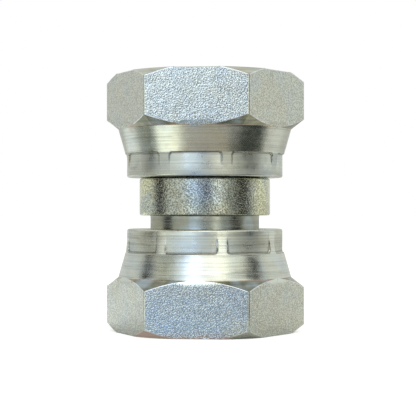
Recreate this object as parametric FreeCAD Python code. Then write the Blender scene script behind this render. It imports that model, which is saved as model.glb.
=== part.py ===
import FreeCAD, Part
import math
import os

# Straight hydraulic connector: a turned adapter body with a swivel nut crimped on each end.
# Lengths are in millimetres and angles in degrees.
# The connector stands on the end face of its lower nut, with its bore along +Z.
# One flat of each hexagon faces -Y.

# Hexagon of both nuts
HEX_ACROSS_FLATS = 27.0
HEX_CORNER_LENGTH = 7.0
HEX_CORNER_ROUNDING = 0.3
HEX_CHAMFER_ANGLE = 37.0
END_CHAMFER_WIDTH = 1.64

# Conical skirt behind the hexagon, which ends this far inside the flats
NUT_LENGTH = 16.1
SKIRT_ANGLE = 16.0
SKIRT_END_INSET = 1.08
SKIRT_ROOT_BEVEL = 0.4

# Crimped tail: eight die bites, with raised lands between them that fade out before the tail's end
CRIMP_LENGTH = 3.6
DIE_COUNT = 8
DIE_ANGLE = 37.0
DIE_DEPTH = 0.24
DIE_CORNER_ROUNDING = 0.55
LAND_LENGTH = 2.4
TAIL_CHAMFER = 0.25
UPPER_LAND_AZIMUTH = 20.5
LOWER_LAND_AZIMUTH = 17.5

# Inside of the nuts: this wall leaves a G 1/2 thread, 20.955 across, then relief and retaining lip
THREAD_WALL = 3.0225
THREAD_LENGTH = 6.5
MOUTH_CHAMFER = 0.5
RELIEF_DEPTH = 0.2
LIP_OVERHANG = 2.0
LIP_LENGTH = 2.8

# Adapter body
COLLAR_STEP = 1.69
COLLAR_HEIGHT = 5.75
COLLAR_CHAMFER = 0.25
NECK_WALL = 2.43
NECK_LENGTH = 5.05
HEAD_LAND_LENGTH = 0.8
SHOULDER_ANGLE = 45.0
NOSE_LEDGE = 1.45
NOSE_LENGTH = 2.0
NOSE_CONE_ANGLE = 60.0
BORE_CHAMFER = 0.4

# Running clearances between the nuts and the body
SWIVEL_CLEARANCE = 0.15
STOP_GAP = 0.15
HEAD_CLEARANCE = 0.93

# Room that a cutting shape needs past the surface it cuts
CUT_MARGIN = 2.0
MATCH_TOLERANCE = 0.001

HEX_SIDES = 6
FULL_TURN = 360.0
HALF_TURN = 180.0
ORIGIN = FreeCAD.Vector(0, 0, 0)
X_AXIS = FreeCAD.Vector(1, 0, 0)
Z_AXIS = FreeCAD.Vector(0, 0, 1)


def sin(angle):
    return math.sin(math.radians(angle))


def cos(angle):
    return math.cos(math.radians(angle))


def tan(angle):
    return math.tan(math.radians(angle))


# Radii of the nut
flat_distance = HEX_ACROSS_FLATS / 2
hex_corner_radius = flat_distance / cos(HALF_TURN / HEX_SIDES)
end_face_radius = hex_corner_radius - END_CHAMFER_WIDTH
skirt_end_radius = flat_distance - SKIRT_END_INSET
tail_radius = skirt_end_radius - DIE_DEPTH
thread_radius = flat_distance - THREAD_WALL
relief_radius = thread_radius + RELIEF_DEPTH
lip_radius = relief_radius - LIP_OVERHANG

# Radii of the body, which follow the nut's lip and relief
neck_radius = lip_radius - SWIVEL_CLEARANCE
collar_radius = neck_radius + COLLAR_STEP
flow_radius = neck_radius - NECK_WALL
head_radius = relief_radius - HEAD_CLEARANCE
nose_base_radius = head_radius - NOSE_LEDGE
nose_tip_radius = nose_base_radius - NOSE_LENGTH * tan(NOSE_CONE_ANGLE / 2)

# Heights in the nut, from its end face
end_chamfer_height = END_CHAMFER_WIDTH * tan(HEX_CHAMFER_ANGLE)
crimp_start = NUT_LENGTH - CRIMP_LENGTH
thread_end = MOUTH_CHAMFER + THREAD_LENGTH
lip_start = NUT_LENGTH - LIP_LENGTH
seat_start = lip_start - LIP_OVERHANG / tan(SHOULDER_ANGLE)

# The hexagon's rear chamfer runs inwards until it meets the skirt's cone
chamfer_rise = tan(HEX_CHAMFER_ANGLE)
skirt_slope = tan(SKIRT_ANGLE)
skirt_radius_at_hex = skirt_end_radius + (crimp_start - HEX_CORNER_LENGTH) * skirt_slope
skirt_root_height = (
    HEX_CORNER_LENGTH
    + (hex_corner_radius - skirt_radius_at_hex) * chamfer_rise / (1 - chamfer_rise * skirt_slope)
)
skirt_root_radius = skirt_end_radius + (crimp_start - skirt_root_height) * skirt_slope

# A bevel eases that inside corner by the same reach along both cones
root_bevel_start_radius = skirt_root_radius + SKIRT_ROOT_BEVEL * cos(HEX_CHAMFER_ANGLE)
root_bevel_start_height = skirt_root_height - SKIRT_ROOT_BEVEL * sin(HEX_CHAMFER_ANGLE)
root_bevel_end_radius = skirt_root_radius - SKIRT_ROOT_BEVEL * sin(SKIRT_ANGLE)
root_bevel_end_height = skirt_root_height + SKIRT_ROOT_BEVEL * cos(SKIRT_ANGLE)

# Heights in the body, from the middle of its collar
collar_top = COLLAR_HEIGHT / 2
neck_top = collar_top + NECK_LENGTH
shoulder_top = neck_top + (head_radius - neck_radius) / tan(SHOULDER_ANGLE)
head_top = shoulder_top + HEAD_LAND_LENGTH
nose_top = head_top + NOSE_LENGTH

# Where the pieces stand: the lower nut hangs at its stop, the upper one rests on the collar
visible_neck = NECK_LENGTH - LIP_LENGTH - STOP_GAP
collar_middle = NUT_LENGTH + visible_neck + collar_top
upper_nut_end = collar_middle + collar_top + STOP_GAP + NUT_LENGTH


def section(outline):
    """Closed face in the plane through the axis, from (radius, height) corners."""
    corners = [FreeCAD.Vector(radius, 0, height) for radius, height in outline]
    return Part.Face(Part.makePolygon(corners + corners[:1]))


def turned(outline):
    return section(outline).revolve(ORIGIN, Z_AXIS, FULL_TURN)


def turned_about_axis(shape, angle):
    copy = shape.copy()
    copy.rotate(ORIGIN, Z_AXIS, angle)
    return copy


def nut_turning():
    """The nut as it leaves the lathe, with its tail already closed in to the crimped lip."""
    outline = [
        (thread_radius + MOUTH_CHAMFER, 0),
        (end_face_radius, 0),
        (hex_corner_radius, end_chamfer_height),
        (hex_corner_radius, HEX_CORNER_LENGTH),
        (root_bevel_start_radius, root_bevel_start_height),
        (root_bevel_end_radius, root_bevel_end_height),
        (skirt_end_radius, crimp_start),
        (tail_radius, crimp_start + LAND_LENGTH),
        (tail_radius, NUT_LENGTH - TAIL_CHAMFER),
        (tail_radius - TAIL_CHAMFER, NUT_LENGTH),
        (lip_radius, NUT_LENGTH),
        (lip_radius, lip_start),
        (relief_radius, seat_start),
        (relief_radius, thread_end),
        (thread_radius, thread_end),
        (thread_radius, MOUTH_CHAMFER),
    ]
    return turned(outline)


def hex_bar():
    """Hexagonal bar with softened corners, one flat towards -Y."""
    corners = []
    for side in range(HEX_SIDES + 1):
        azimuth = side * FULL_TURN / HEX_SIDES
        corners.append(FreeCAD.Vector(cos(azimuth), sin(azimuth), 0) * hex_corner_radius)
    bar = Part.Face(Part.makePolygon(corners)).extrude(Z_AXIS * NUT_LENGTH)
    long_edges = [edge for edge in bar.Edges if abs(edge.Length - NUT_LENGTH) < MATCH_TOLERANCE
                  and abs(edge.tangentAt(edge.FirstParameter).z) > 1 - MATCH_TOLERANCE]
    return bar.makeFillet(HEX_CORNER_ROUNDING, long_edges)


def die_bite():
    """What one crimping die presses away, centred on -Y: a sector with rounded front corners."""
    past_tail = NUT_LENGTH + CUT_MARGIN
    outer_radius = skirt_end_radius + CUT_MARGIN
    outline = [
        (tail_radius, crimp_start),
        (outer_radius, crimp_start),
        (outer_radius, past_tail),
        (tail_radius, past_tail),
    ]
    sector = section(outline).revolve(ORIGIN, Z_AXIS, DIE_ANGLE)
    front_corners = []
    for edge in sector.Edges:
        box = edge.BoundBox
        at_front = max(abs(box.ZMin - crimp_start), abs(box.ZMax - crimp_start)) < MATCH_TOLERANCE
        if at_front and isinstance(edge.Curve, Part.Line):
            front_corners.append(edge)
    sector = sector.makeFillet(DIE_CORNER_ROUNDING, front_corners)
    return turned_about_axis(sector, -(FULL_TURN / 4 + DIE_ANGLE / 2))


def swivel_nut(land_azimuth):
    """Swivel nut with its end face at height 0, and a land at this azimuth from -Y towards +X."""
    nut = nut_turning().common(hex_bar())
    pitch = FULL_TURN / DIE_COUNT
    bite = die_bite()
    bites = [turned_about_axis(bite, land_azimuth + (index + 0.5) * pitch)
             for index in range(DIE_COUNT)]
    return nut.cut(bites).removeSplitter()


def adapter_body():
    """Body turned in one piece, centred on its collar."""
    upper_half = [
        (collar_radius, collar_top - COLLAR_CHAMFER),
        (collar_radius - COLLAR_CHAMFER, collar_top),
        (neck_radius, collar_top),
        (neck_radius, neck_top),
        (head_radius, shoulder_top),
        (head_radius, head_top),
        (nose_base_radius, head_top),
        (nose_tip_radius, nose_top),
        (flow_radius + BORE_CHAMFER, nose_top),
        (flow_radius, nose_top - BORE_CHAMFER),
    ]
    lower_half = [(radius, -height) for radius, height in reversed(upper_half)]
    body = turned(upper_half + lower_half)
    body.translate(Z_AXIS * collar_middle)
    return body


def upper_swivel_nut():
    """The same nut turned over end for end, so its lands' azimuth changes sign."""
    nut = swivel_nut(-UPPER_LAND_AZIMUTH)
    nut.rotate(ORIGIN, X_AXIS, HALF_TURN)
    nut.translate(Z_AXIS * upper_nut_end)
    return nut


pieces = {
    "adapter_body": adapter_body(),
    "lower_swivel_nut": swivel_nut(LOWER_LAND_AZIMUTH),
    "upper_swivel_nut": upper_swivel_nut(),
}

os.makedirs("parts", exist_ok=True)
for name, piece in pieces.items():
    piece.exportStep(f"parts/{name}.step")
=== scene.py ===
import math
import random

import bmesh
import bpy
from bpy.props import FloatProperty, FloatVectorProperty, IntProperty, PointerProperty
from bpy.types import Operator, Panel, PropertyGroup
from mathutils import Euler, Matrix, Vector


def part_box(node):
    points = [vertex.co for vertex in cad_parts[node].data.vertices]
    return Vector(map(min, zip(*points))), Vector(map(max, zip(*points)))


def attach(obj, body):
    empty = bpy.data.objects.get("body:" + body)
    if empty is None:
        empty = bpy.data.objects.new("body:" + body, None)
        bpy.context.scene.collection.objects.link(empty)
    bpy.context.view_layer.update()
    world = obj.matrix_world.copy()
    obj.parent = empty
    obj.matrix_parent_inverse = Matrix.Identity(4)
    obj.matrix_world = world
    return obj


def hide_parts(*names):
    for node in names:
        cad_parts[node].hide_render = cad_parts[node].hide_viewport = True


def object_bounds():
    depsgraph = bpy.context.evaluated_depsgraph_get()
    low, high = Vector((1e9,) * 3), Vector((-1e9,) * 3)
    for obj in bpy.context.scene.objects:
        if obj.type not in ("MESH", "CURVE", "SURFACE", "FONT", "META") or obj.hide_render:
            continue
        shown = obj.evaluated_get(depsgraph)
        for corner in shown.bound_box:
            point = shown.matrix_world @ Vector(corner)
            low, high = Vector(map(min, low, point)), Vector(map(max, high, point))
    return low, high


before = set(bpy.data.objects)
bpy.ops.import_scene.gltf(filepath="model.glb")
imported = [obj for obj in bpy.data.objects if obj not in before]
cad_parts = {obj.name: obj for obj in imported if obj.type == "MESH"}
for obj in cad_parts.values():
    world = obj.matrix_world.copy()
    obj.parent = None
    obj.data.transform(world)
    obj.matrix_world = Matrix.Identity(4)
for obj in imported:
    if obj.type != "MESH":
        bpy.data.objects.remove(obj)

bl_info = {
    "name": "Straight hydraulic connector",
    "version": (1, 0, 0),
    "blender": (4, 5, 0),
    "location": "3D View > Sidebar > Connector",
    "description": "A turned adapter body with a crimped swivel nut on each end",
    "category": "Add Mesh",
}

MM = 0.001
FULL_TURN = 2 * math.pi
WHITE = (1, 1, 1, 1)
HEX_SIDES = 6
# Outward directions of the six flats, the first towards -Y
FLAT_NORMALS = [Vector((math.cos(turn), math.sin(turn), 0.0))
                for turn in (FULL_TURN * (side / HEX_SIDES - 0.25) for side in range(HEX_SIDES))]
# Turns in degrees, from a flat, of the facets that round the long edge beside it
ROUNDING_FACETS = (15.0, 30.0, 45.0)

# Places that come from the frame
CAD_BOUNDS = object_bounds()
CAD_MIDDLE = Vector((0, 0, (CAD_BOUNDS[0][2] + CAD_BOUNDS[1][2]) / 2))
UPPER_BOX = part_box("upper_swivel_nut")
LOWER_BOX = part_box("lower_swivel_nut")
BODY_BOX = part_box("adapter_body")
NUT_LENGTH = UPPER_BOX[1].z - UPPER_BOX[0].z

# How finely the pieces are divided, and the distance at which two points touch
NUT_SEGMENTS = 720
BODY_SEGMENTS = 360
THREAD_SEGMENTS = 150
CORNER_STEPS = 5
SKIRT_ROWS = 7
SKIRT_ROW_STEP = 0.5 * MM
TAIL_ROWS = 26
TOUCHING = 0.002 * MM

# How much one bite may differ from the next: degrees, millimetres and share of its depth
BITE_SHIFT = 0.5
BITE_START = 0.05
BITE_STRENGTH = 0.1
LOWER_SEED = 5
UPPER_SEED = 11

# Lamps: azimuth from the camera, elevation, width and height in degrees, then light above the room's
SOFTBOXES = (
    ("key_softbox", -53, 6, 38, 60, (0.20, 0.21, 0.18)),
    ("cool_window", -20.2, 6, 21.5, 52, (0.66, 0.92, 1.35)),
    ("fill_softbox", 24, 2, 14, 50, (1.10, 1.10, 0.95)),
    ("low_glow", 0.5, -1, 19, 7, (0.85, 0.90, 0.95)),
    ("overhead_middle", -3, 40, 38, 46, (0.75, 0.75, 0.82)),
    ("overhead_right", 37, 40, 42, 46, (0.45, 0.45, 0.36)),
    ("right_wall", 109, 10, 44, 60, (0.10, 0.11, 0.11)),
)
# Upright cards: the same angles, then colour and share of the lamps' distance
CARDS = (
    ("gap", 0.5, 5.5, 19, 12.8, (0.12, 0.17, 0.28), 0.97),
    ("dim_right", 43, 0, 23, 50, (0.48, 0.50, 0.46), 0.97),
    ("dark_right", 69, 0, 30, 48, (0.02, 0.02, 0.02), 1.0),
    ("dark_left", -84, 0, 25, 42, (0.02, 0.02, 0.02), 1.0),
    ("high_left", -58, 42, 26, 40, (0.27, 0.29, 0.25), 1.0),
)
# Floor cards: azimuth and width in degrees, inner and outer radius in millimetres, colour
FLOOR_CARDS = (
    ("floor_left", -130, 50, 16, 250, (1.05, 1.10, 1.08)),
    ("floor_right", 109, 40, 16, 250, (0.85, 0.86, 0.80)),
    ("floor_grey_left", -92, 16, 42, 150, (0.34, 0.36, 0.33)),
    ("floor_dark_left", -76, 16, 42, 150, (0.16, 0.18, 0.16)),
    ("floor_bright_left", -50, 34, 42, 100, (1.55, 1.62, 1.45)),
    ("floor_middle", 0, 60, 43, 80, (0.49, 0.45, 0.38)),
    ("floor_blue_near", -11, 34, 17, 42.5, (0.42, 0.63, 1.00)),
    ("floor_blue_far", -11, 34, 80.5, 130, (0.68, 0.88, 1.18)),
    ("floor_dusk", -11, 34, 130.5, 300, (0.18, 0.24, 0.36)),
    ("floor_grey_right", 38, 14, 42, 80, (0.20, 0.20, 0.19)),
    ("floor_dark_right", 66, 42, 42, 150, (0.05, 0.06, 0.055)),
    ("floor_warm", -20, 70, 13.2, 16.5, (0.50, 0.38, 0.34)),
)
FLOOR_CARD_LIFT = 0.05 * MM
FLOOR_CARD_STEPS = 12
NODE_SPACING = 200


# Settings

def length(name, millimetres, description):
    return FloatProperty(name=name, description=description, default=millimetres * MM,
                         min=0.0, precision=6, unit="LENGTH")


def angle(name, degrees, description):
    return FloatProperty(name=name, description=description, default=math.radians(degrees),
                         unit="ROTATION")


def share(name, value, description):
    return FloatProperty(name=name, description=description, default=value,
                         min=0.0, soft_max=1.0, subtype="FACTOR")


def colour(name, value, description):
    return FloatVectorProperty(name=name, description=description, default=value,
                               size=3, min=0.0, max=1.0, subtype="COLOR")


class ConnectorNut(PropertyGroup):
    across_flats: length("Across flats", 27.0, "Distance between opposite flats")
    corner_length: length("Corner length", 7.0, "Height at which the rear chamfer meets the corners")
    corner_rounding: length("Corner rounding", 0.3, "Radius of the hexagon's long edges")
    chamfer_angle: angle("Chamfer angle", 37.0, "Slope of both hexagon chamfers from the end face")
    chamfer_width: length("Chamfer width", 1.64, "Radial width of the front chamfer at a corner")
    edge_easing: length("Edge easing", 0.12, "Width of the softened edge round each flat")
    blend_reach: length("Blend reach", 1.0, "How far into a flat its run into the skirt starts")
    blend_width: length("Blend width", 3.6, "Half width of a flat's run into the skirt")
    skirt_angle: angle("Skirt angle", 16.0, "Slope of the conical skirt from the axis")
    skirt_inset: length("Skirt inset", 1.08, "How far inside the flats the skirt ends")
    root_rounding: length("Skirt root rounding", 0.35, "Radius between chamfer and skirt")
    crimp_length: length("Crimp length", 3.6, "Length of the crimped tail")
    die_count: IntProperty(name="Dies", description="Crimping dies round the tail", default=8, min=3)
    die_angle: angle("Die angle", 37.0, "Arc that one die presses")
    die_depth: length("Die depth", 0.24, "How deep a die presses at its front edge")
    die_corner: length("Die corner rounding", 0.55, "Radius of a die's front corners")
    die_edge: length("Die edge width", 0.13, "Width of the slope round a die mark")
    # Painted shade: width of the dark band round each die mark
    die_shade_width: length("Grime width", 0.34, "How far the painted shade spreads from a die mark's edge")
    tail_rounding: length("Tail rounding", 0.32, "Radius of the tail's outer edge")
    upper_land: length("Upper land length", 2.05, "Length of the raised lands on the upper nut")
    lower_land: length("Lower land length", 2.4, "Length of the raised lands on the lower nut")
    upper_azimuth: angle("Upper land azimuth", 20.5, "Azimuth of one upper land, from -Y towards +X")
    lower_azimuth: angle("Lower land azimuth", 17.5, "Azimuth of one lower land, from -Y towards +X")
    thread_wall: length("Thread wall", 3.0225, "Wall between a flat and the thread's major radius")
    thread_length: length("Thread length", 6.5, "Length of the threaded wall")
    mouth_chamfer: length("Mouth chamfer", 0.5, "Chamfer where the thread starts")
    relief_depth: length("Relief depth", 0.2, "Depth of the relief behind the thread")
    lip_overhang: length("Lip overhang", 2.0, "How far the crimped lip reaches in past the relief")
    lip_length: length("Lip length", 2.8, "Length of the crimped lip's bore")
    edge_rounding: length("Edge rounding", 0.08, "Radius of the inner edges, doubled at the end faces")


class ConnectorThread(PropertyGroup):
    pitch: length("Pitch", 1.814, "Distance between neighbouring turns")
    minor_radius: length("Minor radius", 9.316, "Radius to the thread's crests")
    flank_angle: angle("Flank angle", 27.5, "Slope of a flank from the radial direction")
    run_out: angle("Run-out", 120.0, "Turn over which the thread fades in and out")


class ConnectorBody(PropertyGroup):
    collar_radius: length("Collar radius", 10.2175, "Radius of the collar")
    collar_height: length("Collar height", 5.75, "Height of the collar")
    collar_rounding: length("Collar rounding", 0.3, "Radius of the collar's edges")
    neck_radius: length("Neck radius", 8.5275, "Radius of both necks")
    neck_length: length("Neck length", 5.05, "Length of each neck, from the collar to the shoulder")
    head_radius: length("Head radius", 9.7475, "Radius of each retaining head")
    head_land: length("Head land", 0.8, "Length of the head's cylindrical part")
    nose_radius: length("Nose radius", 8.2975, "Radius of the sealing cone's base")
    nose_length: length("Nose length", 2.0, "Length of the sealing cone")
    nose_cone: angle("Nose cone", 60.0, "Full angle of the sealing cone")
    bore_radius: length("Bore radius", 6.0975, "Radius of the flow bore")
    bore_chamfer: length("Bore chamfer", 0.4, "Chamfer at each end of the flow bore")
    edge_rounding: length("Edge rounding", 0.08, "Radius of the other turned edges")


class ConnectorFinish(PropertyGroup):
    plating: colour("Plating", (0.65, 0.67, 0.60), "Colour of the zinc plating")
    # Painted highlight: bright colour of the narrow strip round each flat
    rim_highlight: colour("Rim highlight", (0.80, 0.82, 0.80), "Painted highlight along the edge round each flat")
    collar_plating: colour("Collar plating", (0.53, 0.555, 0.485), "Duller plating of the collar")
    # Painted sheen: lighter, yellower colour on the collar's sides
    collar_painted_sheen: colour("Collar painted sheen", (0.88, 0.88, 0.61), "Painted yellowish sheen on both sides of the collar")
    sheen_azimuth: angle("Sheen azimuth", 5.3, "Middle of the collar's bare front, from -Y towards +X")
    sheen_start: length("Sheen start", 7.0, "Distance either side of the middle where the painted sheen starts")
    sheen_full: length("Sheen full", 8.5, "Distance either side of the middle where the painted sheen is full")
    # Painted shade: dark olive colour of the rear chamfer in front of the skirt
    shoulder: colour("Shoulder shade", (0.24, 0.25, 0.19), "Painted olive shade on the chamfer in front of the skirt")
    # Painted shade: the necks' plating is darkened because they sit between the collar and the nuts
    neck_shaded_plating: colour("Neck shaded plating", (0.36, 0.37, 0.31), "Plating of the neck, darkened as painted shade between collar and nut")
    warm_tint: colour("Warm tint", (0.66, 0.62, 0.43), "Yellowish passivation film")
    cool_tint: colour("Cool tint", (0.50, 0.60, 0.70), "Bluish passivation film")
    # Brown of the plating's film, and also of the painted shadow at the skirt's root
    brown_film_and_root_shadow: colour("Brown film and root shadow", (0.38, 0.31, 0.25), "Brownish film, also the painted shadow in the crease at the skirt's root")
    # Painted shade: dark brown colour in the corners of the die marks
    die_shade: colour("Die shade", (0.10, 0.08, 0.055), "Painted shade in the corners of the die marks")
    turned_roughness: share("Turned roughness", 0.2, "Roughness of the turned faces")
    die_roughness: share("Die mark roughness", 0.29, "Roughness where a die has pressed")
    flat_roughness: share("Flat roughness", 0.14, "Roughness of the hexagon's flats")
    collar_roughness: share("Collar roughness", 0.15, "Roughness of the collar")
    bore_roughness: share("Bore roughness", 0.38, "Roughness of the inside faces")


class ConnectorStage(PropertyGroup):
    lens: FloatProperty(name="Lens", description="Focal length for a 36 mm sensor",
                        default=115.65, min=1.0, subtype="NONE")
    camera_azimuth: angle("Camera azimuth", 5.3, "Camera azimuth from -Y towards +X")
    camera_distance: length("Camera distance", 210.0, "Distance from the connector's axis")
    camera_height: length("Camera height", 19.34, "Height of the camera above the floor")
    camera_shift: FloatProperty(name="Camera shift", description="Sideways shift that frames the photo",
                                default=0.0077)
    panel_distance: length("Panel distance", 420.0, "Distance of the light panels from the connector")
    room: colour("Room", (0.79, 0.81, 0.78), "Light that comes from all round")
    paper: colour("Floor paper", (0.70, 0.70, 0.68), "Colour of the floor")
    paper_lift: share("Floor lift", 0.55, "Light that lifts the floor towards white in the picture")
    floor_radius: length("Floor radius", 2500.0, "Radius of the floor")


# Nodes

def feed(tree, value, socket):
    """Links an output to a socket, or sets the socket to a plain value."""
    if isinstance(value, bpy.types.NodeSocket):
        tree.links.new(value, socket)
    else:
        socket.default_value = value


def node(tree, kind, **values):
    """Adds a node at the end of the row, sets its attributes and feeds its inputs by name."""
    added = tree.nodes.new(kind)
    added.location.x = NODE_SPACING * len(tree.nodes)
    for key, value in values.items():
        if key in added.inputs:
            feed(tree, value, added.inputs[key])
        else:
            setattr(added, key, value)
    return added


def combine(tree, kind, *sources, **settings):
    """Adds a node, feeds its inputs in their order and gives its output."""
    added = node(tree, kind, **settings)
    sockets = [socket for socket in added.inputs if socket.enabled]
    for source, socket in zip(sources, sockets):
        feed(tree, source, socket)
    return [socket for socket in added.outputs if socket.enabled][0]


def calculate(tree, operation, *values):
    return combine(tree, "ShaderNodeMath", *values, operation=operation)


def ramp(tree, source, low, high, to_low=0.0, to_high=1.0):
    """Maps a value's range onto another, clamped."""
    return combine(tree, "ShaderNodeMapRange", source, low, high, to_low, to_high)


def blend_colours(tree, factor, first, second, way="MIX"):
    return combine(tree, "ShaderNodeMix", factor, first, second, data_type="RGBA", blend_type=way)


def attribute(tree, name):
    return node(tree, "ShaderNodeAttribute", attribute_name=name).outputs["Fac"]


def object_place(tree, **mapping):
    """Object coordinates, scaled or turned by a Mapping node."""
    where = node(tree, "ShaderNodeTexCoord").outputs["Object"]
    return combine(tree, "ShaderNodeMapping", where, **mapping)


def scaled_noise(tree, scale, detail, roughness=0.5, stretch=(1, 1, 1)):
    """Noise on Object coordinates, finer along an axis where stretch is more."""
    return node(tree, "ShaderNodeTexNoise", Vector=object_place(tree, Scale=stretch),
                Scale=scale, Detail=detail, Roughness=roughness).outputs["Fac"]


def group_node(tree, group, **values):
    return node(tree, "ShaderNodeGroup", node_tree=group, **values)


def shared_group(name, inputs, outputs):
    """A node group with these sockets and defaults, and the node that its inputs come from."""
    group = bpy.data.node_groups.new(name, "ShaderNodeTree")
    for way, sockets in (("INPUT", inputs), ("OUTPUT", outputs)):
        for socket, value in sockets.items():
            kind = "NodeSocketFloat" if isinstance(value, float) else "NodeSocketColor"
            made = group.interface.new_socket(socket, in_out=way, socket_type=kind)
            made.default_value = value
    return group, node(group, "NodeGroupInput")


def plating_group():
    """Zinc plating whose passivation film drifts between warm, cool and brown."""
    name = "zinc_plating"
    if name in bpy.data.node_groups:
        return bpy.data.node_groups[name]
    finish = bpy.context.scene.connector_finish
    inputs = {"Plating": (*finish.plating, 1), "Film": 0.3, "Brown": 0.1}
    group, start = shared_group(name, inputs, {"Color": WHITE, "Drift": 0.0})
    broad = scaled_noise(group, scale=230.0, detail=2.0)
    fine = scaled_noise(group, scale=900.0, detail=3.0)
    patch = scaled_noise(group, scale=330.0, detail=3.0, roughness=0.6, stretch=(1, 1, 1.6))
    layers = (
        (ramp(group, broad, 0.50, 0.66), "Film", finish.warm_tint),
        (ramp(group, broad, 0.46, 0.34), "Film", finish.cool_tint),
        (ramp(group, patch, 0.56, 0.74), "Brown", finish.brown_film_and_root_shadow),
    )
    tinted = start.outputs["Plating"]
    for mask, amount, tint in layers:
        covered = calculate(group, "MULTIPLY", mask, start.outputs[amount])
        tinted = blend_colours(group, covered, tinted, (*tint, 1))
    drift = ramp(group, fine, 0.3, 0.7, -0.04, 0.05)
    node(group, "NodeGroupOutput", Color=tinted, Drift=drift)
    return group


def turning_group():
    """Fine turning marks round the axis, some deeper than others."""
    name = "turning_marks"
    if name in bpy.data.node_groups:
        return bpy.data.node_groups[name]
    group, start = shared_group(name, {"Scratches": 0.5}, {"Height": 0.0, "Tone": 0.0})
    close = scaled_noise(group, scale=1.0, detail=2.0, roughness=0.6, stretch=(20, 20, 4600))
    wide = scaled_noise(group, scale=1.0, detail=2.0, stretch=(60, 60, 2600))
    deep = ramp(group, wide, 0.60, 0.72)
    scratch = calculate(group, "MULTIPLY", deep, start.outputs["Scratches"])
    height = calculate(group, "SUBTRACT", close, scratch)
    tone = ramp(group, height, 0.25, 0.62)
    node(group, "NodeGroupOutput", Height=height, Tone=tone)
    return group


def grain_group():
    """Grainy skin of the drawn bar under its plating."""
    name = "drawn_grain"
    if name in bpy.data.node_groups:
        return bpy.data.node_groups[name]
    group, start = shared_group(name, {"Grain": 1.0}, {"Height": 0.0, "Tone": 0.0})
    grain = scaled_noise(group, scale=4800.0, detail=1.0, roughness=0.55)
    swell = scaled_noise(group, scale=420.0, detail=2.0)
    height = calculate(group, "MULTIPLY_ADD", grain, start.outputs["Grain"], swell)
    tone = ramp(group, grain, 0.40, 0.60)
    node(group, "NodeGroupOutput", Height=height, Tone=tone)
    return group


# Finishes

def empty_material(name):
    material = bpy.data.materials.new(name)
    material.use_nodes = True
    material.node_tree.nodes.clear()
    return material, material.node_tree


def toned_colour(tree, plating, tone, darkest):
    """The plating's colour, darker where the tone is low."""
    shade = ramp(tree, tone, 0.0, 1.0, darkest, 1.0)
    return blend_colours(tree, 1.0, plating.outputs["Color"], shade, "MULTIPLY")


def bumped(tree, height, strength, distance):
    return node(tree, "ShaderNodeBump", Height=height, Strength=strength,
                Distance=distance).outputs["Normal"]


def plated_metal(tree, plating, base, roughness, normal, stretch=0.0):
    """Metal whose roughness drifts, and whose highlights stretch along the axis across turning marks."""
    drifting = calculate(tree, "ADD", plating.outputs["Drift"], roughness)
    surface = node(tree, "ShaderNodeBsdfPrincipled", Metallic=1.0, Roughness=drifting,
                   Normal=normal, Anisotropic=stretch)
    tree.links.new(base, surface.inputs["Base Color"])
    if stretch:
        tangent = node(tree, "ShaderNodeTangent", direction_type="RADIAL", axis="Z")
        tree.links.new(tangent.outputs["Tangent"], surface.inputs["Tangent"])
    node(tree, "ShaderNodeOutputMaterial", Surface=surface.outputs["BSDF"])


def turned_finish(name, base, scratches, film):
    """Lathe-turned and plated, with painted shade round the die marks."""
    if name in bpy.data.materials:
        return bpy.data.materials[name]
    finish = bpy.context.scene.connector_finish
    material, tree = empty_material(name)
    plating = group_node(tree, plating_group(), Plating=(*base, 1), Film=film, Brown=0.35)
    marks = group_node(tree, turning_group(), Scratches=scratches)
    clean = toned_colour(tree, plating, marks.outputs["Tone"], 0.75)
    # Painted shade: a dark brown band round each die mark, where its pressed step would be shaded
    covered = ramp(tree, attribute(tree, "die_grime"), 0.1, 1.0, 0.0, 0.9)
    die_shaded = blend_colours(tree, covered, clean, (*finish.die_shade, 1))
    pressed = attribute(tree, "die_pressed")
    smeared = ramp(tree, pressed, 0.2, 0.8, finish.turned_roughness, finish.die_roughness)
    normal = bumped(tree, marks.outputs["Height"], 0.5, 0.010 * MM)
    plated_metal(tree, plating, die_shaded, smeared, normal, stretch=0.7)
    return material


def flat_finish(name):
    """Drawn hexagon bar: grainy and nicked, with shading that runs each flat into the skirt, and a
    painted highlight where the lower nut's flats meet it.
    """
    if name in bpy.data.materials:
        return bpy.data.materials[name]
    finish = bpy.context.scene.connector_finish
    material, tree = empty_material(name)
    plating = group_node(tree, plating_group(), Film=0.25, Brown=0.12)
    grain = group_node(tree, grain_group(), Grain=1.0)

    # Run-out is above 0 on the lower nut, where it also fades the grain's bump and lifts its tone to
    # full as a painted highlight, and below 0 on the upper
    run_out = attribute(tree, "run_out")
    full = 0.6
    steepest = 0.24
    peak_highlight = ramp(tree, run_out, 0.0, full)
    kept = ramp(tree, run_out, 0.0, full, 1.0, 0.0)
    lean = ramp(tree, run_out, -full, full, -steepest, steepest)

    tone = calculate(tree, "MAXIMUM", grain.outputs["Tone"], peak_highlight)
    specks = scaled_noise(tree, scale=1700.0, detail=1.0, stretch=(1, 1, 0.2))
    nicks = ramp(tree, specks, 0.70, 0.76, 0.0, 1.3)
    nicked = calculate(tree, "SUBTRACT", tone, nicks)
    upwards = node(tree, "ShaderNodeCombineXYZ", Z=lean).outputs["Vector"]
    grained = bumped(tree, grain.outputs["Height"], kept, 0.06 * MM)
    leaning = combine(tree, "ShaderNodeVectorMath", grained, upwards, operation="ADD")
    normal = combine(tree, "ShaderNodeVectorMath", leaning, operation="NORMALIZE")
    plated_metal(tree, plating, toned_colour(tree, plating, nicked, 0.62), finish.flat_roughness, normal)
    return material


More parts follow.
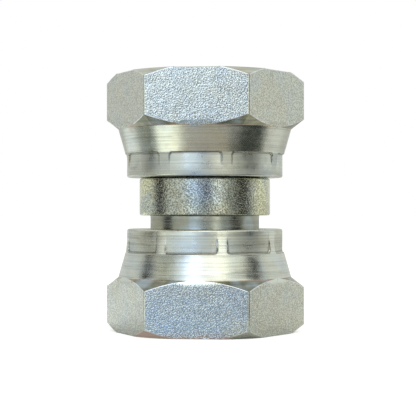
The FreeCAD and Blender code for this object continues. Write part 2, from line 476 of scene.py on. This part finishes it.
def collar_finish(name):
    """Turned, then dulled by handling: grainy, with a painted yellowish sheen on both sides."""
    if name in bpy.data.materials:
        return bpy.data.materials[name]
    finish = bpy.context.scene.connector_finish
    material, tree = empty_material(name)
    # Painted sheen: the collar's sides, away from its front, are made lighter and yellower
    turned = object_place(tree, Rotation=(0, 0, -finish.sheen_azimuth))
    sideways = node(tree, "ShaderNodeSeparateXYZ", Vector=turned).outputs["X"]
    off_middle = calculate(tree, "ABSOLUTE", sideways)
    sheen_share = ramp(tree, off_middle, finish.sheen_start, finish.sheen_full)
    base = blend_colours(tree, sheen_share, (*finish.collar_plating, 1), (*finish.collar_painted_sheen, 1))
    plating = group_node(tree, plating_group(), Plating=base, Film=0.5, Brown=0.4)
    grain = group_node(tree, grain_group(), Grain=1.0)
    toned = toned_colour(tree, plating, grain.outputs["Tone"], 0.42)
    normal = bumped(tree, grain.outputs["Height"], 1.0, 0.036 * MM)
    plated_metal(tree, plating, toned, finish.collar_roughness, normal, stretch=0.4)
    return material


def bore_finish(name):
    """Inside faces: plated thinly, so duller and warmer."""
    if name in bpy.data.materials:
        return bpy.data.materials[name]
    finish = bpy.context.scene.connector_finish
    material, tree = empty_material(name)
    plating = group_node(tree, plating_group(), Film=0.8, Brown=0.7)
    marks = group_node(tree, turning_group(), Scratches=0.4)
    normal = bumped(tree, marks.outputs["Height"], 0.3, 0.004 * MM)
    plated_metal(tree, plating, plating.outputs["Color"], finish.bore_roughness, normal)
    return material


# Shaping and painting that the pieces share

def clamped(value):
    return min(1.0, max(0.0, value))


def select_only(obj):
    bpy.ops.object.select_all(action="DESELECT")
    obj.select_set(True)
    bpy.context.view_layer.objects.active = obj


def rounded(outline):
    """Outline points with an arc at each corner that names a radius."""
    points = []
    for index, (radius, height, rounding) in enumerate(outline):
        corner = Vector((radius, height))
        if rounding == 0.0:
            points.append(corner)
            continue
        before = (Vector(outline[index - 1][:2]) - corner).normalized()
        after = (Vector(outline[(index + 1) % len(outline)][:2]) - corner).normalized()
        half = before.angle(after) / 2
        reach = rounding / math.tan(half)
        centre = corner + (before + after).normalized() * rounding / math.sin(half)
        start = corner + before * reach - centre
        turn = start.angle_signed(corner + after * reach - centre)
        for step in range(CORNER_STEPS + 1):
            swing = -turn * step / CORNER_STEPS
            points.append(centre + Vector((
                start.x * math.cos(swing) - start.y * math.sin(swing),
                start.x * math.sin(swing) + start.y * math.cos(swing),
            )))
    return points


def section_loop(name, points):
    """A closed loop of edges in the plane through the axis, from (radius, height) points."""
    bpy.ops.object.select_all(action="DESELECT")
    bpy.ops.mesh.primitive_circle_add(vertices=len(points), radius=MM)
    loop = bpy.context.object
    loop.name = name
    loop.data.name = name
    for vertex, (radius, height) in zip(loop.data.vertices, points):
        vertex.co = (radius, 0.0, height)
    return loop


def turned_blank(name, points, segments):
    """A closed section turned through a full turn."""
    blank = section_loop(name, points)
    lathe = blank.modifiers.new("lathe", "SCREW")
    lathe.axis = "Z"
    lathe.angle = FULL_TURN
    lathe.steps = lathe.render_steps = segments
    lathe.use_merge_vertices = True
    lathe.merge_threshold = TOUCHING
    bpy.ops.object.modifier_apply(modifier=lathe.name)
    bpy.ops.object.mode_set(mode="EDIT")
    bpy.ops.mesh.select_all(action="SELECT")
    bpy.ops.mesh.remove_doubles(threshold=TOUCHING)
    bpy.ops.mesh.normals_make_consistent(inside=False)
    bpy.ops.object.mode_set(mode="OBJECT")
    return blank


def finish_shading(piece, sharp_angle=38.0):
    """Smooth shading that keeps edges sharper than this many degrees, led by the larger faces."""
    select_only(piece)
    bpy.ops.object.shade_smooth_by_angle(angle=math.radians(sharp_angle))
    weighted = piece.modifiers.new("weighted_normals", "WEIGHTED_NORMAL")
    weighted.keep_sharp = True
    weighted.weight = 60
    bpy.ops.object.modifier_apply(modifier=weighted.name)


def paint_piece(piece, material):
    """Gives the whole piece one material, before some faces get their own."""
    piece.data.materials.clear()
    piece.data.materials.append(material)


def paint_faces(piece, material, chosen):
    """Gives the faces that a test picks a material slot of their own."""
    piece.data.materials.append(material)
    slot = len(piece.data.materials) - 1
    for face in piece.data.polygons:
        if chosen(face):
            face.material_index = slot


# Adapter body

class CONNECTOR_OT_adapter_body(Operator):
    """Turns the body with its collar, necks, heads, sealing cones and flow bore"""
    bl_idname = "connector.adapter_body"
    bl_label = "Adapter Body"

    def execute(self, context):
        body = context.scene.connector_body
        finish = context.scene.connector_finish
        middle = (BODY_BOX[0].z + BODY_BOX[1].z) / 2
        collar_top = body.collar_height / 2
        neck_top = collar_top + body.neck_length
        shoulder_top = neck_top + body.head_radius - body.neck_radius
        head_top = shoulder_top + body.head_land
        nose_top = head_top + body.nose_length
        nose_tip = body.nose_radius - body.nose_length * math.tan(body.nose_cone / 2)
        edge = body.edge_rounding
        upper = [
            (body.collar_radius, collar_top, body.collar_rounding),
            (body.neck_radius, collar_top, 2 * edge),
            (body.neck_radius, neck_top, 0.0),
            (body.head_radius, shoulder_top, edge),
            (body.head_radius, head_top, edge),
            (body.nose_radius, head_top, 0.0),
            (nose_tip, nose_top, edge),
            (body.bore_radius + body.bore_chamfer, nose_top, edge),
            (body.bore_radius, nose_top - body.bore_chamfer, edge),
        ]
        lower = [(radius, -height, rounding) for radius, height, rounding in reversed(upper)]
        points = [Vector((point.x, middle + point.y)) for point in rounded(upper + lower)]
        piece = turned_blank("turned_body", points, BODY_SEGMENTS)
        finish_shading(piece)

        collar_edge = collar_top + 0.01 * MM
        neck_wall = body.neck_radius + 0.3 * MM
        bore_wall = body.bore_radius + 0.05 * MM

        def is_collar(face):
            return abs(face.center.z - middle) < collar_edge and face.center.xy.length > neck_wall

        def is_bore(face):
            return face.center.xy.length < bore_wall

        # Painted shade: the necks are darkened where they sit between the collar and the nuts
        paint_piece(piece, turned_finish("neck_turned_shaded", finish.neck_shaded_plating, 0.5, 0.3))
        paint_faces(piece, collar_finish("collar_turned"), is_collar)
        paint_faces(piece, bore_finish("body_bore"), is_bore)
        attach(piece, "body")
        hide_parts("adapter_body")
        return {"FINISHED"}


# Swivel nuts

def corner_radius(nut):
    return nut.across_flats / 2 / math.cos(math.pi / HEX_SIDES)


def end_face_radius(nut):
    return corner_radius(nut) - nut.chamfer_width


def root_height(nut):
    """Where the hexagon's rear chamfer meets the skirt's cone, above the nut's end face."""
    skirt_end = nut.across_flats / 2 - nut.skirt_inset
    rise = math.tan(nut.chamfer_angle)
    slope = math.tan(nut.skirt_angle)
    run = NUT_LENGTH - nut.crimp_length - nut.corner_length
    return nut.corner_length + (corner_radius(nut) - skirt_end - run * slope) * rise / (1 - rise * slope)


def nut_outline(nut, land_length):
    """Section of a nut that stands on its end face: (radius, height, rounding) corners."""
    blank_radius = corner_radius(nut) + 0.7 * MM
    end_face = end_face_radius(nut)
    root = root_height(nut)
    rise = math.tan(nut.chamfer_angle)
    slope = math.tan(nut.skirt_angle)
    skirt_end = nut.across_flats / 2 - nut.skirt_inset
    crimp_start = NUT_LENGTH - nut.crimp_length
    thread = nut.across_flats / 2 - nut.thread_wall
    thread_end = nut.mouth_chamfer + nut.thread_length
    relief = thread + nut.relief_depth
    lip = relief - nut.lip_overhang
    lip_start = NUT_LENGTH - nut.lip_length
    edge = nut.edge_rounding

    skirt_rows = []
    for row in range(1, SKIRT_ROWS + 1):
        height = root + SKIRT_ROW_STEP * row
        skirt_rows.append((skirt_end + (crimp_start - height) * slope, height, 0.0))
    # Close rows for the dies to press, from a little before their front edge
    tail_rows = []
    for row in range(-2, TAIL_ROWS):
        height = crimp_start + land_length * row / (TAIL_ROWS - 1)
        radius = skirt_end - nut.die_depth * max(0.0, height - crimp_start) / land_length
        radius += max(0.0, crimp_start - height) * slope
        tail_rows.append((radius, height, 0.0))
    return [
        (thread, nut.mouth_chamfer, edge),
        (thread + nut.mouth_chamfer, 0.0, edge),
        (end_face, 0.0, 2 * edge),
        (blank_radius, (blank_radius - end_face) * rise, 0.0),
        (blank_radius, nut.corner_length - (blank_radius - corner_radius(nut)) * rise, 0.0),
        (skirt_end + (crimp_start - root) * slope, root, nut.root_rounding),
        *skirt_rows,
        *tail_rows,
        (skirt_end - nut.die_depth, NUT_LENGTH, nut.tail_rounding),
        (lip, NUT_LENGTH, 2 * edge),
        (lip, lip_start, edge),
        (relief, lip_start - nut.lip_overhang, edge),
        (relief, thread_end, 0.0),
        (thread, thread_end, 0.0),
    ]


def mill_hexagon(blank, nut):
    """Cuts six flats on the blank, then narrow facets that round the long edges between them."""
    distance = nut.across_flats / 2
    rounding_centre = (distance - nut.corner_rounding) / math.cos(math.pi / HEX_SIDES)
    cuts = [(normal, distance) for normal in FLAT_NORMALS]
    for normal in FLAT_NORMALS:
        for lean in ROUNDING_FACETS:
            facet = normal.copy()
            facet.rotate(Euler((0, 0, math.radians(lean))))
            off_corner = math.radians(lean) - math.pi / HEX_SIDES
            cuts.append((facet, rounding_centre * math.cos(off_corner) + nut.corner_rounding))
    select_only(blank)
    bpy.ops.object.mode_set(mode="EDIT")
    for normal, reach in cuts:
        bpy.ops.mesh.select_all(action="SELECT")
        bpy.ops.mesh.bisect(plane_co=normal * reach, plane_no=normal, use_fill=True,
                            clear_outer=True, threshold=1e-7)
    # The cuts leave slivers along the flats
    bpy.ops.mesh.select_all(action="DESELECT")
    mesh = bmesh.from_edit_mesh(blank.data)
    for vertex in mesh.verts:
        if max(vertex.co.dot(normal) for normal in FLAT_NORMALS) > distance - TOUCHING / 2:
            vertex.select_set(True)
    bmesh.update_edit_mesh(blank.data)
    bpy.ops.mesh.remove_doubles(threshold=0.03 * MM)
    bpy.ops.object.mode_set(mode="OBJECT")


def ease_flat_edges(blank, nut, nut_end, direction):
    """Insets each flat, lets the strip round it lean over, and widens it where it meets the skirt."""
    distance = nut.across_flats / 2
    smallest_flat = 20 * MM * MM
    # The strip leans where the cosine of the bend beside it is below this, and fully this much lower
    crease_start = 0.95
    crease_range = 0.25
    # A normal this level belongs to an upright face, and one this near a flat's belongs to the flat
    upright = 0.02
    in_flat = 0.9999
    select_only(blank)
    bpy.ops.object.mode_set(mode="EDIT")
    bpy.ops.mesh.select_all(action="DESELECT")
    mesh = bmesh.from_edit_mesh(blank.data)
    for face in mesh.faces:
        if face.calc_area() > smallest_flat and abs(face.normal.z) < upright:
            face.select_set(True)
    bmesh.update_edit_mesh(blank.data)
    bpy.ops.mesh.inset(thickness=nut.edge_easing, depth=0.0, use_even_offset=True, use_individual=True)

    mesh = bmesh.from_edit_mesh(blank.data)
    mesh.normal_update()
    is_flat = mesh.faces.layers.int.new("is_flat")
    run_out = mesh.verts.layers.float.new("run_out")
    for flat in [face for face in mesh.faces if face.select]:
        flat[is_flat] = 1
        for edge in flat.edges:
            for strip in edge.link_faces:
                strip[is_flat] = 1
    for edge in mesh.edges:
        run = edge.verts[1].co - edge.verts[0].co
        if len({face[is_flat] for face in edge.link_faces}) == 2 and abs(run.z) < run.xy.length:
            edge.smooth = False

    moves = {}
    for normal in FLAT_NORMALS:
        along = normal.cross(Vector((0, 0, 1)))
        for vertex in mesh.verts:
            if abs(vertex.co.dot(normal) - distance) > TOUCHING:
                continue
            beside = min(face.normal.dot(normal) for face in vertex.link_faces)
            bell = 1 - clamped(abs(vertex.co.dot(along)) / nut.blend_width) ** 2
            at_rear = (vertex.co.z - nut_end) * direction > nut.corner_length / 2
            if beside > 0.99999:
                if at_rear:
                    moves[vertex] = Vector((0, 0, -direction * nut.blend_reach * bell))
            elif all(abs(face.normal.z) > upright or face.normal.dot(normal) > in_flat
                     for face in vertex.link_faces):
                vertex[run_out] = direction * bell if at_rear else 0.0
                crease = clamped((crease_start - beside) / crease_range)
                moves[vertex] = -normal * nut.edge_easing * math.tan(math.acos(beside) / 2) * crease
    for vertex, move in moves.items():
        vertex.co += move
    bmesh.update_edit_mesh(blank.data)
    bpy.ops.object.mode_set(mode="OBJECT")


def press_dies(blank, nut, nut_end, direction, land_azimuth, land_length, seed):
    """Weights the tail where the dies bite, and presses it in along its normals."""
    skirt_end = nut.across_flats / 2 - nut.skirt_inset
    crimp_start = NUT_LENGTH - nut.crimp_length
    pitch = FULL_TURN / nut.die_count
    draw = random.Random(seed)
    marks = [(math.radians(draw.uniform(-BITE_SHIFT, BITE_SHIFT)),
              draw.uniform(-BITE_START, BITE_START) * MM,
              draw.uniform(1 - BITE_STRENGTH, 1 + BITE_STRENGTH)) for _ in range(nut.die_count)]
    group = blank.vertex_groups.new(name="die_press")
    die_shade = [0.0] * len(blank.data.vertices)
    pressed = [0.0] * len(blank.data.vertices)
    for vertex in blank.data.vertices:
        height = (vertex.co.z - nut_end) * direction - crimp_start
        in_bore = vertex.co.xy.length < skirt_end - 2 * nut.die_depth
        if height < -nut.die_edge or in_bore:
            continue
        azimuth = (math.atan2(vertex.co.x, -vertex.co.y) - land_azimuth) % FULL_TURN
        shift, start, strength = marks[int(azimuth / pitch) % nut.die_count]
        off_middle = abs(azimuth % pitch - pitch / 2 + shift) * skirt_end
        across = off_middle - nut.die_angle / 2 * skirt_end + nut.die_corner
        along = nut.die_corner - (height - start)
        outside = math.hypot(max(across, 0.0), max(along, 0.0)) + min(max(across, along), 0.0)
        from_edge = outside - nut.die_corner
        press = clamped(0.5 - from_edge / nut.die_edge)
        press = press * press * (3 - 2 * press)
        depth = 1.0 - clamped(height / land_length)
        group.add([vertex.index], press * depth * strength, "REPLACE")
        pressed[vertex.index] = press
        # How strongly the painted shade darkens this point, fading away from a die mark's edge
        die_shade[vertex.index] = depth * max(0.0, 1 - abs(from_edge) / nut.die_shade_width)
    select_only(blank)
    dies = blank.modifiers.new("die_press", "DISPLACE")
    dies.direction = "NORMAL"
    dies.mid_level = 0.0
    dies.strength = -nut.die_depth
    dies.vertex_group = group.name
    bpy.ops.object.modifier_apply(modifier=dies.name)
    blank.vertex_groups.remove(blank.vertex_groups["die_press"])
    blank.data.attributes.new("die_pressed", "FLOAT", "POINT").data.foreach_set("value", pressed)
    blank.data.attributes.new("die_grime", "FLOAT", "POINT").data.foreach_set("value", die_shade)


def paint_nut(piece, nut, nut_end, direction):
    """Turned all over, apart from the flats with a painted highlight round each, the bore, and the
    corner in front of the skirt, where shade is painted.
    """
    finish = bpy.context.scene.connector_finish
    flat_marks = piece.data.attributes["is_flat"].data
    end_face = end_face_radius(nut)
    root = root_height(nut)
    root_band = 0.15 * MM
    highlight_slope = 0.3
    shoulder_start = nut.corner_length - 0.1 * MM
    tail_face = NUT_LENGTH - 0.2 * MM

    def height_of(face):
        return (face.center.z - nut_end) * direction

    def is_flat(face):
        return flat_marks[face.index].value == 1

    def is_rim_highlight(face):
        return is_flat(face) and abs(face.normal.z) > highlight_slope

    def is_inside(face):
        radius = face.center.xy.length
        looks_in = face.normal.xy.dot(face.center.xy) < 0.5 * radius
        return radius < end_face and height_of(face) < tail_face and looks_in

    def is_shoulder(face):
        return shoulder_start < height_of(face) < root - root_band

    def is_root(face):
        return abs(height_of(face) - root) < root_band

    # The flats and the bore come last, because they cover some of what is painted before
    paint_piece(piece, turned_finish("nut_turned", finish.plating, 0.85, 0.35))
    # Painted shade: the rear chamfer in front of the skirt is darkened to olive
    paint_faces(piece, turned_finish("nut_shoulder_shade", finish.shoulder, 0.85, 0.6), is_shoulder)
    # Painted shadow: a thin brown band in the crease where the chamfer meets the skirt
    paint_faces(piece, turned_finish("nut_root_shadow", finish.brown_film_and_root_shadow, 0.85, 0.6), is_root)
    paint_faces(piece, flat_finish("nut_flats"), is_flat)
    # Painted highlight: the sloping strips round each flat get a brighter, ungrained plating
    paint_faces(piece, turned_finish("nut_rim_highlight", finish.rim_highlight, 0.3, 0.1), is_rim_highlight)
    paint_faces(piece, bore_finish("nut_bore"), is_inside)


def swivel_nut(name, nut, nut_end, direction, land_azimuth, land_length, seed):
    """One nut: direction is +1 where its end face looks down, and -1 where it looks up."""
    outline = rounded(nut_outline(nut, land_length))
    points = [Vector((point.x, nut_end + direction * point.y)) for point in outline]
    piece = turned_blank(name, points, NUT_SEGMENTS)
    mill_hexagon(piece, nut)
    ease_flat_edges(piece, nut, nut_end, direction)
    press_dies(piece, nut, nut_end, direction, land_azimuth, land_length, seed)
    finish_shading(piece)
    paint_nut(piece, nut, nut_end, direction)
    return piece


class CONNECTOR_OT_swivel_nuts(Operator):
    """Mills and crimps the two swivel nuts"""
    bl_idname = "connector.swivel_nuts"
    bl_label = "Swivel Nuts"

    def execute(self, context):
        nut = context.scene.connector_nut
        lower = swivel_nut("crimped_lower_nut", nut, LOWER_BOX[0].z, 1, nut.lower_azimuth,
                           nut.lower_land, LOWER_SEED)
        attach(lower, "lower_nut")
        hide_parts("lower_swivel_nut")
        upper = swivel_nut("crimped_upper_nut", nut, UPPER_BOX[1].z, -1, nut.upper_azimuth,
                           nut.upper_land, UPPER_SEED)
        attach(upper, "upper_nut")
        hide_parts("upper_swivel_nut")
        return {"FINISHED"}


# Threads

def thread_section(nut, thread):
    """Half height of the ridge's foot, and its section as (radius, height) from its middle."""
    embedded = 0.05 * MM
    root_flat = 0.13 * MM
    crest_flat = 0.09 * MM
    crest_easing = 0.1 * MM
    buried = nut.across_flats / 2 - nut.thread_wall + embedded
    crest = thread.minor_radius
    foot = thread.pitch / 2 - root_flat
    shoulder = foot - (buried - crest - crest_easing) * math.tan(thread.flank_angle)
    return foot, [(buried, -foot), (crest + crest_easing, -shoulder), (crest, -crest_flat),
                  (crest, crest_flat), (crest + crest_easing, shoulder), (buried, foot)]


def thread_ridge(name, nut, thread, nut_end, direction):
    """The helical ridge inside a nut, right-handed whichever way the nut points."""
    foot, section = thread_section(nut, thread)
    buried = section[0][0]
    run = nut.thread_length + nut.mouth_chamfer - thread.pitch
    turns = run / thread.pitch
    sweep = FULL_TURN * turns
    start = nut_end + direction * nut.mouth_chamfer + direction * foot
    if direction < 0:
        start -= run
    ridge = section_loop(name, [(radius, start + height) for radius, height in section])
    helix = ridge.modifiers.new("helix", "SCREW")
    helix.axis = "Z"
    helix.angle = sweep
    helix.screw_offset = run
    helix.steps = helix.render_steps = round(THREAD_SEGMENTS * turns)
    helix.use_smooth_shade = False
    bpy.ops.object.modifier_apply(modifier=helix.name)

    # The ridge rises out of the wall at one end and sinks back at the other
    steps = len(ridge.data.vertices) // len(section) - 1
    for vertex in ridge.data.vertices:
        turn = sweep * (vertex.index // len(section)) / steps
        fade = min(1.0, turn / thread.run_out, (sweep - turn) / thread.run_out)
        radius = vertex.co.xy.length
        faded = buried - (buried - radius) * fade
        vertex.co.x *= faded / radius
        vertex.co.y *= faded / radius
    bpy.ops.object.mode_set(mode="EDIT")
    bpy.ops.mesh.select_all(action="SELECT")
    bpy.ops.mesh.fill_holes(sides=0)
    bpy.ops.mesh.select_all(action="SELECT")
    bpy.ops.mesh.normals_make_consistent(inside=False)
    bpy.ops.object.mode_set(mode="OBJECT")
    finish_shading(ridge, sharp_angle=40.0)
    paint_piece(ridge, bore_finish("nut_bore"))
    return ridge


class CONNECTOR_OT_threads(Operator):
    """Cuts the helical thread inside each nut"""
    bl_idname = "connector.threads"
    bl_label = "Threads"

    def execute(self, context):
        nut = context.scene.connector_nut
        thread = context.scene.connector_thread
        lower = thread_ridge("lower_nut_thread", nut, thread, LOWER_BOX[0].z, 1)
        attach(lower, "lower_nut")
        upper = thread_ridge("upper_nut_thread", nut, thread, UPPER_BOX[1].z, -1)
        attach(upper, "upper_nut")
        return {"FINISHED"}


# Stage

def studio_direction(azimuth, elevation):
    """Direction from the connector: azimuth in degrees right of the camera, then elevation."""
    stage = bpy.context.scene.connector_stage
    turn = stage.camera_azimuth + math.radians(azimuth)
    lift = math.radians(elevation)
    return Vector((math.sin(turn) * math.cos(lift), -math.cos(turn) * math.cos(lift), math.sin(lift)))


def aimed(obj, azimuth, elevation, distance):
    """Places an object in that direction and turns its -Z towards the connector."""
    direction = studio_direction(azimuth, elevation)
    obj.location = CAD_MIDDLE + direction * distance
    obj.rotation_euler = direction.to_track_quat("Z", "Y").to_euler()


def filling(degrees, distance):
    """Size of what fills this angle at that distance."""
    return 2 * distance * math.tan(math.radians(degrees / 2))


def softbox(name, azimuth, elevation, width, height, radiance):
    """Area lamp sized by the angles that it fills as the connector sees it."""
    distance = bpy.context.scene.connector_stage.panel_distance
    lamp = bpy.data.lights.new(name, "AREA")
    lamp.shape = "RECTANGLE"
    lamp.size = filling(width, distance)
    lamp.size_y = filling(height, distance)
    lamp.energy = math.pi * lamp.size * lamp.size_y
    lamp.color = radiance
    obj = bpy.data.objects.new(name, lamp)
    bpy.context.scene.collection.objects.link(obj)
    obj.visible_camera = False
    aimed(obj, azimuth, elevation, distance)


def only_reflected(board, grey):
    """Gives a card a plain glow of this colour, which only reflections see."""
    material, tree = empty_material(board.name)
    glow = node(tree, "ShaderNodeEmission", Color=(*grey, 1.0)).outputs["Emission"]
    node(tree, "ShaderNodeOutputMaterial", Surface=glow)
    board.data.materials.append(material)
    board.visible_camera = False
    board.visible_shadow = False
    board.visible_diffuse = False


def card(name, azimuth, elevation, width, height, grey, distance_share):
    """Upright card sized like a softbox."""
    distance = bpy.context.scene.connector_stage.panel_distance * distance_share
    bpy.ops.object.select_all(action="DESELECT")
    bpy.ops.mesh.primitive_plane_add(size=1.0)
    board = bpy.context.object
    board.name = name
    board.scale = (filling(width, distance), filling(height, distance), 1.0)
    aimed(board, azimuth, elevation, distance)
    only_reflected(board, grey)


def floor_card(name, azimuth, width, inner, outer, grey):
    """Sector of card lying on the floor round the connector, for the downward-facing metal."""
    there = range(FLOOR_CARD_STEPS + 1)
    corners = []
    for radius, sweep in ((inner * MM, there), (outer * MM, reversed(there))):
        for step in sweep:
            direction = studio_direction(azimuth + width * (step / FLOOR_CARD_STEPS - 0.5), 0)
            corners.append(direction * radius + Vector((0, 0, FLOOR_CARD_LIFT)))
    bpy.ops.object.select_all(action="DESELECT")
    bpy.ops.mesh.primitive_circle_add(vertices=len(corners), radius=MM, fill_type="NGON")
    board = bpy.context.object
    board.name = name
    for vertex, corner in zip(board.data.vertices, corners):
        vertex.co = corner
    only_reflected(board, grey)


def place_camera(scene, stage):
    camera = bpy.data.objects.new("camera", bpy.data.cameras.new("camera"))
    camera.data.sensor_width = 36.0
    camera.data.lens = stage.lens
    camera.data.shift_x = stage.camera_shift
    camera.data.clip_start = 5 * MM
    scene.collection.objects.link(camera)
    camera.location = studio_direction(0, 0) * stage.camera_distance
    camera.location.z = stage.camera_height
    camera.rotation_euler = Euler((math.pi / 2, 0, stage.camera_azimuth))
    scene.camera = camera


def light_room(scene, stage):
    """Even light from all round, behind which the camera sees white."""
    world = bpy.data.worlds.new("studio")
    scene.world = world
    world.use_nodes = True
    tree = world.node_tree
    tree.nodes.clear()
    in_picture = node(tree, "ShaderNodeLightPath").outputs["Is Camera Ray"]
    white = node(tree, "ShaderNodeBackground", Color=WHITE).outputs["Background"]
    room = node(tree, "ShaderNodeBackground", Color=(*stage.room, 1)).outputs["Background"]
    shown = combine(tree, "ShaderNodeMixShader", in_picture, room, white)
    node(tree, "ShaderNodeOutputWorld", Surface=shown)


def lay_floor(stage):
    """Sheet of paper that takes the shadows, and is lifted to white in the picture."""
    bpy.ops.object.select_all(action="DESELECT")
    bpy.ops.mesh.primitive_circle_add(vertices=96, radius=stage.floor_radius, fill_type="NGON")
    floor = bpy.context.object
    floor.name = "floor"
    material, tree = empty_material("floor_paper")
    in_picture = node(tree, "ShaderNodeLightPath").outputs["Is Camera Ray"]
    lift = calculate(tree, "MULTIPLY", in_picture, stage.paper_lift)
    paper = node(tree, "ShaderNodeBsdfDiffuse", Color=(*stage.paper, 1)).outputs["BSDF"]
    glow = node(tree, "ShaderNodeEmission", Color=WHITE, Strength=lift).outputs["Emission"]
    both = combine(tree, "ShaderNodeAddShader", paper, glow)
    node(tree, "ShaderNodeOutputMaterial", Surface=both)
    floor.data.materials.append(material)


class CONNECTOR_OT_stage(Operator):
    """Sets up the floor, the soft lights, the world and the camera"""
    bl_idname = "connector.stage"
    bl_label = "Stage"

    def execute(self, context):
        scene = context.scene
        scene.view_settings.view_transform = "Standard"
        place_camera(scene, scene.connector_stage)
        light_room(scene, scene.connector_stage)
        lay_floor(scene.connector_stage)
        for row in SOFTBOXES:
            softbox(*row)
        for row in CARDS:
            card(*row)
        for row in FLOOR_CARDS:
            floor_card(*row)
        return {"FINISHED"}


# Panel and registration

# Title, settings on the scene, their class, and the operator that uses them
SECTIONS = (
    ("Body", "connector_body", ConnectorBody, CONNECTOR_OT_adapter_body),
    ("Nuts", "connector_nut", ConnectorNut, CONNECTOR_OT_swivel_nuts),
    ("Thread", "connector_thread", ConnectorThread, CONNECTOR_OT_threads),
    ("Finish", "connector_finish", ConnectorFinish, None),
    ("Stage", "connector_stage", ConnectorStage, CONNECTOR_OT_stage),
)


class CONNECTOR_PT_panel(Panel):
    bl_idname = "CONNECTOR_PT_panel"
    bl_label = "Hydraulic Connector"
    bl_space_type = "VIEW_3D"
    bl_region_type = "UI"
    bl_category = "Connector"

    def draw(self, context):
        for title, settings, group, operator in SECTIONS:
            box = self.layout.box()
            box.label(text=title)
            for key in group.__annotations__:
                box.prop(getattr(context.scene, settings), key)
            if operator:
                box.operator(operator.bl_idname)


GROUPS = {settings: group for _, settings, group, _ in SECTIONS}
OPERATORS = [operator for *_, operator in SECTIONS if operator]
CLASSES = (*GROUPS.values(), *OPERATORS, CONNECTOR_PT_panel)


def register():
    for item in CLASSES:
        bpy.utils.register_class(item)
    for name, group in GROUPS.items():
        setattr(bpy.types.Scene, name, PointerProperty(type=group))


def unregister():
    for name in GROUPS:
        delattr(bpy.types.Scene, name)
    for item in reversed(CLASSES):
        bpy.utils.unregister_class(item)


def main():
    register()
    bpy.ops.connector.stage()
    bpy.ops.connector.adapter_body()
    bpy.ops.connector.swivel_nuts()
    bpy.ops.connector.threads()


if __name__ == "__main__":
    main()
